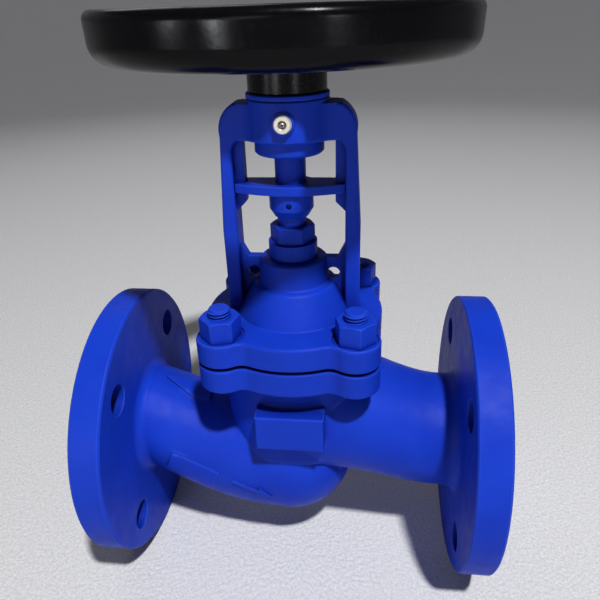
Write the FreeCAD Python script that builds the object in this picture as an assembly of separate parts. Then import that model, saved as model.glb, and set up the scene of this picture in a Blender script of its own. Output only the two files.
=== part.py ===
import FreeCAD, Part
import math
import os
from FreeCAD import Vector

# Bellows seal globe valve, DN 50, PN 16, with flanged ends and a rising stem that doesn't turn.
# Millimetres. The origin is on the floor under the stem, +X runs with the flow and +Z up the stem.

# End flanges and ports
face_to_face = 230.0
flange_dia = 165.0
flange_rim_thickness = 17.5
raised_face_dia = 102.0
raised_face_height = 1.5
flange_edge = 1.0
port_bore_dia = 50.0
bolt_circle_dia = 125.0
bolt_hole_dia = 18.0
bolt_count = 4
neck_root_radius = 6.0

# Inlet duct, which dips into the belly under the seat
inlet_neck_dia = 64.0
belly_dia = 78.0
belly_drop = 20.0
belly_offset = 5.0
inlet_level_from = 25.0
belly_wall = 8.0

# Outlet duct, which falls from the chamber over the seat to the flow axis
outlet_neck_dia = 68.0
outlet_root_dia = 75.0
outlet_rise = 15.0
outlet_bend_start = 18.0
outlet_bend_end = 88.0
outlet_wall = 8.5
duct_sections = 7

# Barrel and chamber over the seat
barrel_length = 87.0
barrel_width = 74.0
barrel_foot_drop = 6.0
barrel_foot_radius = 5.0
chamber_dia = 60.0
seat_height = 0.0
partition_wall = 6.5
name_pad_width = 38.0
name_pad_height = 22.0
name_pad_top = 38.0
name_pad_reach = 46.5
name_pad_edge = 1.2

# Raised cast marks on the inlet duct: a bare panel, the flow arrow and a flat land on top
mark_relief = 1.2
panel_length = 31.0
panel_width = 14.0
panel_start = -74.0
panel_drop = 2.0
panel_slant = 23.0
arrow_length = 26.0
arrow_head_length = 9.0
arrow_head_width = 8.0
arrow_shaft_width = 2.0
arrow_start = -38.0
arrow_drop = 19.0
arrow_slant = 22.0
land_tip = -84.0
land_shoulder = -66.0
land_end = -55.0
land_width = 18.0

# Joint between body and bonnet
joint_height = 68.5
joint_gap = 2.0
joint_disc_dia = 99.0
joint_blend = 8.0
joint_edge = 1.6
body_flange_thickness = 14.0
bonnet_flange_thickness = 13.5
gasket_outer_dia = 76.0
gasket_inner_dia = 62.0
gasket_thickness = 1.5
bellows_ring_thickness = 3.0
stud_circle_dia = 100.0
stud_lobe_dia = 27.0
stud_count = 4
stud_dia = 12.0
stud_hole_play = 0.75
stud_reach = 4.8
stud_point = 1.2
nut_flats = 19.0
nut_turn = 15.0
nut_height = 12.0
spot_face_dia = 25.0
spot_face_depth = 0.8

# Seat, disc and bellows
seat_bore_dia = 48.0
seat_ring_outer_dia = 57.0
seat_ring_height = 10.0
seat_chamfer = 2.0
seat_stand = 1.0
disc_dia = 54.0
disc_rim_height = 8.0
disc_edge = 1.0
disc_back_fall = 2.0
disc_hub_dia = 30.0
disc_hub_height = 17.0
disc_socket_dia = 21.0
disc_socket_height = 6.0
disc_floor = 6.0
disc_nut_flange_dia = 26.0
disc_nut_flange_height = 2.5
collar_dia = 31.0
collar_height = 4.0
bellows_outer_dia = 31.0
bellows_inner_dia = 21.0
bellows_wall = 1.0
bellows_convolutions = 8
bellows_length = 36.0
bellows_cuff_height = 2.5

# Bonnet dome, neck and packing
dome_dia = 64.6
dome_top_dia = 46.4
dome_height = 17.0
dome_shoulder_radius = 2.5
dome_crown = 0.8
dome_cavity_dia = 42.0
dome_cavity_height = 20.0
neck_foot_dia = 39.3
neck_top_dia = 36.6
neck_height = 44.9
neck_blend = 1.5
neck_edge = 1.0
packing_bore_dia = 24.0
packing_floor_height = 26.0
packing_base_height = 2.0
packing_ring_height = 3.0
packing_ring_count = 3
gland_follower_height = 3.5
gland_skirt_dia = 26.4
gland_skirt_height = 9.2
gland_flats = 21.0
gland_hex_height = 9.4

# Yoke
arm_spacing = 57.2
arm_thickness = 7.9
arm_width = 16.0
arm_lean = 2.5
arm_lean_from = 62.0
arm_edge = 1.6
guide_rib_reach = 5.2
guide_rib_width = 6.0
guide_rib_from = 67.0
window_corner = 6.0
web_thickness = 4.6
web_hole_dia = 7.2
web_hole_offset = 22.1
web_hole_height = 35.2
web_gusset_reach = 4.0
web_gusset_height = 8.0
head_height_from_base = 108.5
head_dia = 41.0
head_height = 20.0
head_edge = 1.0
head_blend = 10.0
head_blend_bite = 0.05
shoulder_drop = 2.5
shoulder_inset = 10.0
shoulder_fall = 16.0
shoulder_bulge_inset = 1.6
shoulder_bulge_fall = 5.8
lower_boss_dia = 35.2
lower_boss_height = 7.0
nipple_height_in_head = 10.0
nipple_boss_dia = 10.8
nipple_boss_reach = 0.8
nipple_head_dia = 8.7
nipple_head_height = 2.2
nipple_thread_dia = 6.0
nipple_ball_dia = 2.6
nipple_dish_depth = 0.9
nipple_rim_dia = 7.5
nipple_dish_dia = 4.4

# Stem nut, its bearings and cap
nut_sleeve_dia = 25.8
nut_flange_dia = 31.0
nut_flange_height = 8.0
bearing_bore_dia = 32.0
bearing_floor_height = 3.0
thrust_washer_height = 2.0
cap_dia = 41.0
cap_height = 2.2
nut_shank_dia = 24.0
nut_thread_dia = 22.0
nut_thread_length = 15.5

# Stem and coupling
screw_dia = 16.0
screw_pitch = 4.0
spindle_dia = 15.5
spindle_foot_dia = 20.0
spindle_foot_height = 5.6
coupling_dia = 23.3
coupling_height = 13.3
coupling_taper_height = 4.0
coupling_height_over_base = 68.5
coupling_pin_dia = 3.0
coupling_pin_height = 7.3
coupling_pin_sink = 1.5
screw_depth_in_coupling = 8.7
screw_end_over_wheel_nut = 10.0

# Guide plate on the coupling
plate_thickness = 4.5
plate_end_width = 13.0
plate_front_reach = 13.3
plate_hub_dia = 23.0
plate_blend = 3.0

# Handwheel
sleeve_dia = 38.6
sleeve_height = 16.5
key_width = 4.0
key_height = 4.0
key_length = 12.0
wheel_dia = 177.6
wheel_sheet = 2.5
wheel_hub_dia = 60.0
wheel_hub_rise = 4.0
wheel_shoulder_run = 6.0
window_hub_land = 2.5
window_rim_land = 2.0
wheel_window_corner = 7.0
spoke_count = 3
spoke_width = 23.0
window_lip = 3.5
spoke_start_angle = 88.0
wheel_hub_drop = 1.0
wheel_bend_radius = 4.0
rim_height = 21.8
rim_slope_width = 10.0
rim_foot_width = 12.8
rim_taper = 0.6
rim_foot_radius = 9.0
rim_head_radius = 4.0
rim_lip_width = 9.0
rim_lip_fall = 4.0
rim_lip_slant = 0.5
rim_lip_radius = 2.6
wheel_washer_dia = 37.0
wheel_washer_height = 2.0
wheel_nut_flats = 30.0
wheel_nut_turn = 15.0
wheel_nut_height = 13.0

# Clearances
fixed_play = 0.05
running_play = 0.08
thread_play = 0.1
guide_play = 0.3
face_play = 0.3

# Places worked out from the sizes
flow_z = flange_dia / 2
port_x = face_to_face / 2
rim_face_x = port_x - raised_face_height
neck_end_x = rim_face_x - flange_rim_thickness
duct_end_x = neck_end_x - neck_root_radius
seat_z = flow_z + seat_height
partition_z = seat_z - seat_ring_height
chamber_floor_z = seat_z - seat_stand
belly_z = flow_z - belly_drop
joint_z = flow_z + joint_height
recess_depth = 2 * gasket_thickness + bellows_ring_thickness - joint_gap
recess_z = joint_z - recess_depth
base_z = joint_z + joint_gap
bonnet_top_z = base_z + bonnet_flange_thickness
spot_z = bonnet_top_z - spot_face_depth
neck_top_z = base_z + neck_height
packing_floor_z = base_z + packing_floor_height
head_z = base_z + head_height_from_base
head_top_z = head_z + head_height
lower_boss_z = head_z - lower_boss_height
arm_inner_x = arm_spacing / 2
arm_outer_x = arm_inner_x + arm_thickness
bearing_floor_z = head_z + bearing_floor_height
nut_flange_z = bearing_floor_z + thrust_washer_height + running_play
cap_foot_z = nut_flange_z + nut_flange_height + running_play + thrust_washer_height
cap_top_z = head_top_z + cap_height
sleeve_z = cap_top_z + face_play
hub_z = sleeve_z + sleeve_height
hub_top_z = hub_z + wheel_sheet
washer_top_z = hub_top_z + wheel_washer_height
wheel_nut_top_z = washer_top_z + wheel_nut_height
spoke_z = hub_z + wheel_hub_rise
rim_foot_z = hub_z - wheel_hub_drop
rim_slope_end = wheel_dia / 2 - rim_foot_width
rim_slope_start = rim_slope_end - rim_slope_width
wheel_window_inner_dia = wheel_hub_dia + 2 * (wheel_shoulder_run + window_hub_land)
wheel_window_outer_dia = 2 * (rim_slope_start - window_rim_land)
coupling_z = base_z + coupling_height_over_base
plate_z = coupling_z + coupling_height
pin_z = coupling_z + coupling_pin_height
disc_z = seat_z + face_play
collar_z = disc_z + disc_hub_height + disc_nut_flange_height
bellows_z = collar_z + collar_height
ring_z = recess_z + gasket_thickness


def cylinder(dia, low, high):
    """A solid of revolution about the stem between two heights."""
    return Part.makeCylinder(dia / 2, high - low, Vector(0, 0, low))


def tube(outer, inner, low, high):
    """A ring about the stem."""
    return cylinder(outer, low, high).cut(cylinder(inner, low, high))


def turned(points):
    """A closed profile of radius and height pairs, turned about the stem."""
    corners = [Vector(radius, 0, height) for radius, height in points]
    face = Part.Face(Part.makePolygon(corners + corners[:1]))
    return face.revolve(Vector(0, 0, 0), Vector(0, 0, 1), 360)


def arc(start, middle, end):
    """An edge through three points."""
    return Part.Arc(start, middle, end).toShape()


def line(start, end):
    """A straight edge."""
    return Part.LineSegment(start, end).toShape()


def rounded(points, radii):
    """A path of straight runs through points, each corner between its ends rounded by a radius of its own."""
    edges = []
    start = points[0]
    for before, corner, after, radius in zip(points, points[1:], points[2:], radii):
        back = (before - corner).normalize()
        onward = (after - corner).normalize()
        half = back.getAngle(onward) / 2
        reach = radius / math.tan(half)
        first = corner + back * reach
        last = corner + onward * reach
        middle = (back + onward).normalize()
        bend = corner + middle * (radius / math.sin(half) - radius)
        edges += [line(start, first), arc(first, bend, last)]
        start = last
    edges.append(line(start, points[-1]))
    return edges


def block(x0, x1, y0, y1, z0, z1):
    """A box between two corners."""
    return Part.makeBox(x1 - x0, y1 - y0, z1 - z0, Vector(x0, y0, z0))


def hexagon(flats, low, high, bore, turn, chamfer_low=True):
    """A nut about the stem, turned by an angle, with its corners chamfered by 30 degrees."""
    corner = flats / math.sqrt(3)
    prism = Part.Face(Part.makePolygon([polar(corner, 60 * side + turn, low) for side in range(7)]))
    prism = prism.extrude(Vector(0, 0, high - low))
    rise = (corner - flats / 2) * math.tan(math.radians(30))
    crown = [(0, low), (flats / 2, low), (corner, low + rise), (corner, high - rise)]
    crown += [(flats / 2, high), (0, high)]
    if not chamfer_low:
        crown[1:3] = [(corner, low)]
    return prism.common(turned(crown)).cut(cylinder(bore, low - 1, high + 1))


def around(shape, count, start=0.0):
    """Copies of a shape, evenly spaced about the stem."""
    copies = []
    for number in range(count):
        copy = shape.copy()
        copy.rotate(Vector(0, 0, 0), Vector(0, 0, 1), start + 360.0 * number / count)
        copies.append(copy)
    return copies


def mirrored(shape):
    """A shape and its twin on the other side of the stem."""
    return shape.fuse(shape.mirror(Vector(0, 0, 0), Vector(1, 0, 0)))


def export(shape, node):
    """One file per piece."""
    shape.exportStep("parts/" + node + ".step")


def polar(radius, degrees, height=0.0):
    """A point at an angle about the stem."""
    return Vector(radius * math.cos(math.radians(degrees)), radius * math.sin(math.radians(degrees)), height)


def lobed_plate(low, high, edge_low, edge_high):
    """The joint flange's outline: a disc with a rounded lobe at each stud, blended by hollow arcs."""
    disc = joint_disc_dia / 2
    lobe = stud_lobe_dia / 2
    reach = stud_circle_dia / 2
    from_axis = disc + joint_blend
    from_lobe = lobe + joint_blend
    swing = math.degrees(math.acos((from_axis**2 + reach**2 - from_lobe**2) / (2 * from_axis * reach)))
    step = 360.0 / stud_count
    edges = []
    for number in range(stud_count):
        middle = step * (number + 0.5)
        lobe_centre = polar(reach, middle, low)
        hollows = [polar(from_axis, middle - swing, low), polar(from_axis, middle + swing, low)]
        on_disc = [polar(disc, middle - swing, low), polar(disc, middle + swing, low)]
        on_lobe = [lobe_centre + (hollow - lobe_centre) * (lobe / from_lobe) for hollow in hollows]
        before = polar(disc, middle - swing - (step / 2 - swing), low)
        bends = []
        for side in (0, 1):
            inward = (on_disc[side] + on_lobe[side]) * 0.5 - hollows[side]
            bends.append(hollows[side] + inward.normalize() * joint_blend)
        edges.append(arc(polar(disc, middle - step + swing, low), before, on_disc[0]))
        edges.append(arc(on_disc[0], bends[0], on_lobe[0]))
        edges.append(arc(on_lobe[0], polar(reach + lobe, middle, low), on_lobe[1]))
        edges.append(arc(on_lobe[1], bends[1], on_disc[1]))
    plate = Part.Face(Part.Wire(edges)).extrude(Vector(0, 0, high - low))
    for level, radius in [(low, edge_low), (high, edge_high)]:
        rims = [edge for edge in plate.Edges
                if abs(edge.BoundBox.ZMin - level) < 0.01 and abs(edge.BoundBox.ZMax - level) < 0.01]
        plate = plate.makeFillet(radius, rims)
    return plate


def studs_at(shape):
    """Copies of a shape that stands on the first stud's axis."""
    shape.translate(polar(stud_circle_dia / 2, 180.0 / stud_count))
    return around(shape, stud_count)


# Body

def duct(start, end, section):
    """A duct lofted through upright circles; section gives the centre's height and the radius at x."""
    wires = []
    for number in range(duct_sections):
        x = start + (end - start) * number / (duct_sections - 1)
        height, radius = section(x)
        circle = Part.Circle(Vector(x, 0, height), Vector(1, 0, 0), radius)
        wires.append(Part.Wire(circle.toShape()))
    return Part.makeLoft(wires, True, False)


def inlet_duct(neck_radius, belly_radius):
    """The duct in: it dips by a quarter wave from the flange to the belly and widens evenly."""
    def section(x):
        dip = min(1.0, (x + duct_end_x) / (duct_end_x - inlet_level_from))
        widening = (x + duct_end_x) / (duct_end_x - belly_offset)
        radius = neck_radius + (belly_radius - neck_radius) * widening
        return flow_z - belly_drop * math.sin(math.pi / 2 * dip), radius

    return duct(-duct_end_x, -belly_offset, section)


def outlet_duct(root_radius, neck_radius):
    """The duct out: level and wide over the seat, then a smooth fall to the neck on the flow axis."""
    def section(x):
        share = (x - outlet_bend_start) / (outlet_bend_end - outlet_bend_start)
        fall = 0.5 * (1 + math.cos(math.pi * min(1.0, max(0.0, share))))
        return flow_z + outlet_rise * fall, neck_radius + (root_radius - neck_radius) * fall

    return duct(0, duct_end_x, section)


def belly_end(radius):
    """The round end of the belly, past the level part of the inlet duct."""
    ball = Part.makeSphere(radius, Vector(-belly_offset, 0, belly_z))
    return ball.common(block(-belly_offset, 2 * radius, -radius, radius, belly_z - radius, belly_z + radius))


def end_flange(side):
    """A flange on the flow axis, with its raised face and the hollow root that meets the duct."""
    neck = (inlet_neck_dia if side < 0 else outlet_neck_dia) / 2
    root = neck_root_radius
    rim = flange_dia / 2
    back = neck_end_x
    outline = [
        line(Vector(back - root, 0, 0), Vector(back - root, 0, neck)),
        arc(Vector(back - root, 0, neck),
            Vector(back - root + root * math.sin(math.pi / 4), 0, neck + root - root * math.cos(math.pi / 4)),
            Vector(back, 0, neck + root)),
        line(Vector(back, 0, neck + root), Vector(back, 0, rim - flange_edge)),
        line(Vector(back, 0, rim - flange_edge), Vector(back + flange_edge, 0, rim)),
        line(Vector(back + flange_edge, 0, rim), Vector(rim_face_x - flange_edge, 0, rim)),
        line(Vector(rim_face_x - flange_edge, 0, rim), Vector(rim_face_x, 0, rim - flange_edge)),
        line(Vector(rim_face_x, 0, rim - flange_edge), Vector(rim_face_x, 0, raised_face_dia / 2)),
        line(Vector(rim_face_x, 0, raised_face_dia / 2), Vector(port_x, 0, raised_face_dia / 2)),
        line(Vector(port_x, 0, raised_face_dia / 2), Vector(port_x, 0, 0)),
        line(Vector(port_x, 0, 0), Vector(back - root, 0, 0)),
    ]
    flange = Part.Face(Part.Wire(outline)).revolve(Vector(0, 0, 0), Vector(1, 0, 0), 360)
    for number in range(bolt_count):
        angle = math.radians(360.0 * (number + 0.5) / bolt_count)
        hole = Part.makeCylinder(bolt_hole_dia / 2, flange_rim_thickness + 2,
                                 Vector(back - 1, bolt_circle_dia / 2 * math.cos(angle),
                                        bolt_circle_dia / 2 * math.sin(angle)), Vector(1, 0, 0))
        flange = flange.cut(hole)
    if side < 0:
        flange = flange.mirror(Vector(0, 0, 0), Vector(1, 0, 0))
    flange.translate(Vector(0, 0, flow_z))
    return flange


def barrel():
    """The oval barrel under the joint, with a rounded foot that meets the belly."""
    foot = flow_z - barrel_foot_drop
    ellipse = Part.Ellipse(Vector(0, 0, foot), barrel_length / 2, barrel_width / 2)
    height = joint_z - body_flange_thickness / 2 - foot
    solid = Part.Face(Part.Wire(ellipse.toShape())).extrude(Vector(0, 0, height))
    foot_edges = [edge for edge in solid.Edges if edge.BoundBox.ZMax < foot + height / 2]
    return solid.makeFillet(barrel_foot_radius, foot_edges)


def slanted(outline, start, drop, slant):
    """A flat outline in the side view, slanted down along the flow and run through the duct's near side."""
    corners = [Vector(along, -belly_dia, up) for along, up in outline]
    prism = Part.Face(Part.makePolygon(corners + corners[:1])).extrude(Vector(0, belly_dia, 0))
    prism.rotate(Vector(0, 0, 0), Vector(0, 1, 0), slant)
    prism.translate(Vector(start, 0, flow_z - drop))
    return prism


def cast_marks():
    """The raised marks on the inlet duct: they follow its skin, one relief higher."""
    skin = inlet_duct(inlet_neck_dia / 2 + mark_relief, belly_dia / 2 + mark_relief)
    panel = [(0, 0), (panel_length, 0), (panel_length, -panel_width), (0, -panel_width)]
    shaft = arrow_shaft_width / 2
    head = arrow_head_width / 2
    neck = arrow_length - arrow_head_length
    arrow = [(0, shaft), (neck, shaft), (neck, head), (arrow_length, 0), (neck, -head), (neck, -shaft),
             (0, -shaft)]
    side = land_width / 2
    corners = [(land_tip, 0), (land_shoulder, -side), (land_end, -side), (land_end, side),
               (land_shoulder, side)]
    corners = [Vector(x, y, flow_z) for x, y in corners]
    land = Part.Face(Part.makePolygon(corners + corners[:1])).extrude(Vector(0, 0, belly_dia))
    return [skin.common(slanted(panel, panel_start, panel_drop, panel_slant)),
            skin.common(slanted(arrow, arrow_start, arrow_drop, arrow_slant)),
            skin.common(land)]


def make_body():
    """The body casting: two flanges, the duct in, the duct out, the barrel and the joint flange."""
    belly = belly_dia / 2
    shell = inlet_duct(inlet_neck_dia / 2, belly)
    shell = shell.fuse(belly_end(belly))
    for mark in cast_marks():
        shell = shell.fuse(mark)
    shell = shell.fuse(barrel())
    shell = shell.fuse(outlet_duct(outlet_root_dia / 2, outlet_neck_dia / 2))
    for side in (-1, 1):
        shell = shell.fuse(end_flange(side))
    plate = lobed_plate(joint_z - body_flange_thickness, joint_z, joint_edge, joint_edge / 2)
    shell = shell.fuse(plate)
    pad_top = flow_z + name_pad_top
    pad = block(-name_pad_width / 2, name_pad_width / 2, -name_pad_reach, -chamber_dia / 2 - outlet_wall / 2,
                pad_top - name_pad_height, pad_top)
    front = [edge for edge in pad.Edges if edge.BoundBox.YMax < -name_pad_reach + 0.01]
    shell = shell.fuse(pad.makeFillet(name_pad_edge, front))

    inlet_bore = port_bore_dia / 2
    hollow = Part.makeCylinder(inlet_bore, port_x - duct_end_x, Vector(-port_x, 0, flow_z), Vector(1, 0, 0))
    hollow = hollow.fuse(inlet_duct(inlet_bore, belly - belly_wall))
    hollow = hollow.fuse(belly_end(belly - belly_wall))
    guard = cylinder(chamber_dia + 2 * partition_wall, partition_z, joint_z)
    hollow = hollow.cut(guard)
    way_out = outlet_duct(outlet_root_dia / 2 - outlet_wall, inlet_bore)
    floor_radius = belly - belly_wall + partition_wall
    way_out = way_out.cut(Part.makeSphere(floor_radius, Vector(-belly_offset, 0, belly_z)))
    way_out = way_out.fuse(Part.makeCylinder(inlet_bore, port_x - duct_end_x, Vector(duct_end_x, 0, flow_z),
                                             Vector(1, 0, 0)))
    chamber = cylinder(chamber_dia, chamber_floor_z, joint_z + 1)
    over_floor = block(-1, duct_end_x, -belly, belly, partition_z + partition_wall, joint_z)
    near = way_out.common(cylinder(chamber_dia + 1, partition_z - belly, joint_z)).common(over_floor)
    far = way_out.cut(cylinder(chamber_dia, partition_z - belly, joint_z))
    seat_hole = cylinder(seat_ring_outer_dia + 2 * fixed_play, partition_z - 1, chamber_floor_z + 1)
    recess = cylinder(gasket_outer_dia, recess_z, joint_z + 1)
    stud_hole = cylinder(stud_dia + 2 * fixed_play, joint_z - body_flange_thickness - 1, joint_z + 1)
    for cutter in [hollow, chamber, near, far, seat_hole, recess] + studs_at(stud_hole):
        shell = shell.cut(cutter)
    return shell


def make_seat_ring():
    """The seat ring, with a bevelled sealing edge inside its top."""
    bore = seat_bore_dia / 2
    outer = seat_ring_outer_dia / 2
    return turned([(bore, partition_z), (outer, partition_z), (outer, seat_z), (bore + seat_chamfer, seat_z),
                   (bore, seat_z - seat_chamfer)])


def flat_ring(outer, inner, low, height):
    """A gasket or washer."""
    return tube(outer, inner, low, low + height)


# Bonnet

def dome():
    """The dome, its narrow shoulder, the blend to the neck and the neck itself, as one turned outline."""
    shoulder = dome_top_dia / 2
    crest = bonnet_top_z + dome_height
    top = neck_top_dia / 2
    low = base_z + bonnet_flange_thickness / 2
    wall = dome_dia / 2 + (dome_dia / 2 - shoulder) * (bonnet_top_z - low) / dome_height
    outside = [Vector(wall, 0, low), Vector(shoulder, 0, crest),
               Vector(neck_foot_dia / 2, 0, crest + dome_crown), Vector(top, 0, neck_top_z - neck_edge)]
    edges = rounded(outside, [dome_shoulder_radius, neck_blend])
    edges += [
        line(Vector(top, 0, neck_top_z - neck_edge), Vector(top - neck_edge, 0, neck_top_z)),
        line(Vector(top - neck_edge, 0, neck_top_z), Vector(0, 0, neck_top_z)),
        line(Vector(0, 0, neck_top_z), Vector(0, 0, low)),
        line(Vector(0, 0, low), Vector(wall, 0, low)),
    ]
    return Part.Face(Part.Wire(edges)).revolve(Vector(0, 0, 0), Vector(0, 0, 1), 360)


def arms():
    """The two arms and the bridge between them: an arch with leaning sides and rounded shoulders."""
    half = arm_width / 2
    low = base_z + bonnet_flange_thickness / 2
    lean_z = base_z + arm_lean_from
    shoulder_z = head_top_z - shoulder_drop
    fall_z = shoulder_z - shoulder_fall
    outer = arm_outer_x
    leaned = outer - arm_lean
    top = outer - shoulder_inset
    bulge = Vector(leaned - shoulder_bulge_inset, -half, shoulder_z - shoulder_bulge_fall)
    right = [
        line(Vector(outer, -half, low), Vector(outer, -half, lean_z)),
        line(Vector(outer, -half, lean_z), Vector(leaned, -half, fall_z)),
        arc(Vector(leaned, -half, fall_z), bulge, Vector(top, -half, shoulder_z)),
    ]
    left = [
        arc(Vector(-top, -half, shoulder_z), Vector(-bulge.x, -half, bulge.z),
            Vector(-leaned, -half, fall_z)),
        line(Vector(-leaned, -half, fall_z), Vector(-outer, -half, lean_z)),
        line(Vector(-outer, -half, lean_z), Vector(-outer, -half, low)),
    ]
    bridge = [line(Vector(top, -half, shoulder_z), Vector(-top, -half, shoulder_z))]
    foot = [line(Vector(-outer, -half, low), Vector(outer, -half, low))]
    arch = Part.Face(Part.Wire(right + bridge + left + foot)).extrude(Vector(0, arm_width, 0))
    window = block(-arm_inner_x, arm_inner_x, -arm_width, arm_width, low - 1, head_z)
    corners = [edge for edge in window.Edges
               if edge.BoundBox.YLength > arm_width and edge.BoundBox.ZMin > head_z - 0.01]
    arch = arch.cut(window.makeFillet(window_corner, corners))
    faces = [edge for edge in arch.Edges if edge.BoundBox.YLength < 0.01 and edge.BoundBox.ZMax > low + 0.01]
    return arch.makeFillet(arm_edge, faces)


def guide_rib():
    """The rib inside an arm that the plate slides on, with a slanted foot."""
    tip = arm_inner_x - guide_rib_reach
    low = base_z + guide_rib_from
    inside = arm_inner_x + arm_thickness / 2
    run = inside - tip
    outline = [Vector(inside, -guide_rib_width / 2, low), Vector(tip, -guide_rib_width / 2, low + run),
               Vector(tip, -guide_rib_width / 2, head_z + 1),
               Vector(inside, -guide_rib_width / 2, head_z + 1)]
    return Part.Face(Part.makePolygon(outline + outline[:1])).extrude(Vector(0, guide_rib_width, 0))


def web():
    """The web between neck and arm, with its round hole and the gusset at the arm."""
    half = web_thickness / 2
    inside = packing_bore_dia / 2 + 2
    low = base_z + bonnet_flange_thickness / 2
    outer = arm_inner_x + arm_thickness / 2
    outline = [Vector(inside, -half, low), Vector(outer, -half, low),
               Vector(outer, -half, neck_top_z + web_gusset_height),
               Vector(arm_inner_x, -half, neck_top_z + web_gusset_height),
               Vector(arm_inner_x - web_gusset_reach, -half, neck_top_z), Vector(inside, -half, neck_top_z)]
    plate = Part.Face(Part.makePolygon(outline + outline[:1])).extrude(Vector(0, web_thickness, 0))
    hole = Part.makeCylinder(web_hole_dia / 2, web_thickness * 2,
                             Vector(web_hole_offset, -web_thickness, base_z + web_hole_height),
                             Vector(0, 1, 0))
    return plate, hole


def head_blends():
    """The hollow blends between the yoke head and the flat sides of the shoulders."""
    half = arm_width / 2
    around_y = half + head_blend - head_blend_bite
    from_stem = head_dia / 2 + head_blend - head_blend_bite
    around_x = math.sqrt(from_stem**2 - around_y**2)
    centre = Vector(around_x, -around_y, head_z)
    to_head = Vector(-around_x, around_y, 0).normalize() * head_blend
    to_arm = Vector(0, head_blend, 0)
    between = (to_head + to_arm).normalize() * head_blend
    inside_x = (centre + to_head).x - head_edge * 2
    inside_y = head_edge * 2 - half
    hollow = arc(centre + to_arm, centre + between, centre + to_head)
    outline = Part.Wire([
        hollow,
        line(centre + to_head, Vector(inside_x, (centre + to_head).y, head_z)),
        line(Vector(inside_x, (centre + to_head).y, head_z), Vector(inside_x, inside_y, head_z)),
        line(Vector(inside_x, inside_y, head_z), Vector(around_x, inside_y, head_z)),
        line(Vector(around_x, inside_y, head_z), centre + to_arm),
    ])
    blend = Part.Face(outline).extrude(Vector(0, 0, head_top_z - shoulder_drop - head_z))
    front = mirrored(blend)
    return front.fuse(front.mirror(Vector(0, 0, 0), Vector(0, 1, 0)))


def make_bonnet():
    """The bonnet casting: joint flange, dome, neck with packing bore, webs, yoke arms and yoke head."""
    casting = lobed_plate(base_z, bonnet_top_z, joint_edge / 2, joint_edge)
    casting = casting.fuse(dome())
    casting = casting.fuse(arms())
    casting = casting.fuse(mirrored(guide_rib()))
    plate, hole = web()
    casting = casting.fuse(mirrored(plate))
    head = cylinder(head_dia, head_z, head_top_z)
    rims = [edge for edge in head.Edges if edge.BoundBox.ZLength < 0.01]
    casting = casting.fuse(head.makeChamfer(head_edge, rims))
    casting = casting.fuse(head_blends())
    boss = cylinder(lower_boss_dia, lower_boss_z, head_z + 1)
    rim = [edge for edge in boss.Edges if edge.BoundBox.ZMax < lower_boss_z + 0.01]
    casting = casting.fuse(boss.makeChamfer(head_edge, rim))
    nipple_z = head_z + nipple_height_in_head
    face_y = head_dia / 2 + nipple_boss_reach
    nipple_boss = Part.makeCylinder(nipple_boss_dia / 2, face_y - bearing_bore_dia / 2,
                                    Vector(0, -bearing_bore_dia / 2, nipple_z), Vector(0, -1, 0))
    casting = casting.fuse(nipple_boss)
    stem_hole = cylinder(spindle_dia + 2 * running_play, base_z, neck_top_z)
    nut_hole = cylinder(nut_sleeve_dia + 2 * running_play, lower_boss_z - 1, head_z + head_height / 2)
    cutters = [
        hole, hole.mirror(Vector(0, 0, 0), Vector(1, 0, 0)),
        cylinder(dome_cavity_dia, base_z - 1, base_z + dome_cavity_height),
        stem_hole,
        cylinder(packing_bore_dia, packing_floor_z, neck_top_z + 1),
        nut_hole,
        cylinder(bearing_bore_dia, bearing_floor_z, head_top_z + 1),
        Part.makeCylinder(nipple_thread_dia / 2 + fixed_play, head_dia, Vector(0, 0, nipple_z),
                          Vector(0, -1, 0)),
    ]
    cutters += studs_at(cylinder(stud_dia + 2 * stud_hole_play, base_z - 1, bonnet_top_z + 1))
    cutters += studs_at(cylinder(spot_face_dia, spot_z, spot_z + nut_height))
    for cutter in cutters:
        casting = casting.cut(cutter)
    return casting


def make_studs():
    """Four studs, screwed into the body flange."""
    low = joint_z - body_flange_thickness
    top = spot_z + nut_height + stud_reach
    radius = stud_dia / 2
    stud = turned([(0, low), (radius - stud_point, low), (radius, low + stud_point),
                   (radius, top - stud_point), (radius - stud_point, top), (0, top)])
    return Part.makeCompound(studs_at(stud))


def make_nuts():
    """Four nuts on the spot faces."""
    bore = stud_dia + 2 * fixed_play
    nut = hexagon(nut_flats, spot_z, spot_z + nut_height, bore, nut_turn, chamfer_low=False)
    return Part.makeCompound(studs_at(nut))


# Packing and gland

packing_inner_dia = spindle_dia + 2 * running_play
packing_outer_dia = packing_bore_dia - 2 * fixed_play
packing_z = packing_floor_z + packing_base_height
follower_z = packing_z + packing_ring_count * packing_ring_height


def make_packing():
    """The stack of packing rings."""
    rings = []
    for number in range(packing_ring_count):
        low = packing_z + number * packing_ring_height
        rings.append(tube(packing_outer_dia, packing_inner_dia, low, low + packing_ring_height))
    return Part.makeCompound(rings)


def make_gland_nut():
    """The gland nut: a thread in the neck, a round skirt on it and a hexagon on top."""
    skirt_top = neck_top_z + gland_skirt_height
    top = skirt_top + gland_hex_height
    thread = cylinder(packing_outer_dia, follower_z + gland_follower_height, neck_top_z)
    skirt = cylinder(gland_skirt_dia, neck_top_z, skirt_top)
    rim = [edge for edge in skirt.Edges if edge.BoundBox.ZMax < neck_top_z + 0.01]
    nut = thread.fuse(skirt.makeChamfer(neck_edge / 2, rim))
    nut = nut.fuse(hexagon(gland_flats, skirt_top, top, spindle_dia, 0))
    return nut.cut(cylinder(spindle_dia + 2 * guide_play, packing_z, top + 1))


# Yoke head

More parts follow.
